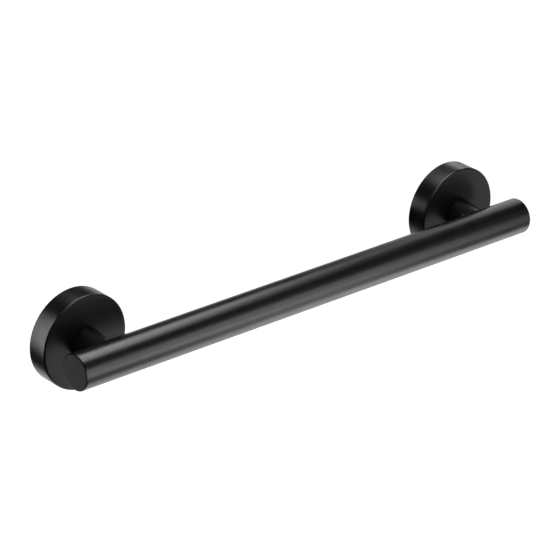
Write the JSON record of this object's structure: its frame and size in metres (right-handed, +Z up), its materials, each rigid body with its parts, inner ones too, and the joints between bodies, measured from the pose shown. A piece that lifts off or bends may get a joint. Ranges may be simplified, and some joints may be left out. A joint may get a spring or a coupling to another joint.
{
  "type": "grab bar",
  "caption": "Straight round grab bar on tapered posts with thick round wall roses, in satin black, locked over hidden wall plates.",
  "frame": {"origin": "on the wall plane, midway between the two roses", "axes": "+X along the rail, +Y into the wall, +Z up; the rail stands off the wall towards -Y"},
  "size_m": [0.506, 0.072, 0.084],
  "materials": {
    "satin_black_coat": "satin black powder coat on stainless steel",
    "stainless_plate": "turned stainless steel, uncoated",
    "zinc_plated_steel": "bright zinc plate",
    "black_oxide_steel": "black oxide"
  },
  "bodies": {
    "root": {"grip_tube": "satin_black_coat", "left_end_cap": "satin_black_coat", "right_end_cap": "satin_black_coat", "left_post": "satin_black_coat", "right_post": "satin_black_coat", "left_rose": "satin_black_coat", "right_rose": "satin_black_coat", "left_wall_plate": "stainless_plate", "right_wall_plate": "stainless_plate", "left_bolt_washer": "zinc_plated_steel", "right_bolt_washer": "zinc_plated_steel", "left_post_bolt": "zinc_plated_steel", "right_post_bolt": "zinc_plated_steel", "left_grub_screw": "black_oxide_steel", "right_grub_screw": "black_oxide_steel"}
  },
  "joints": []
}
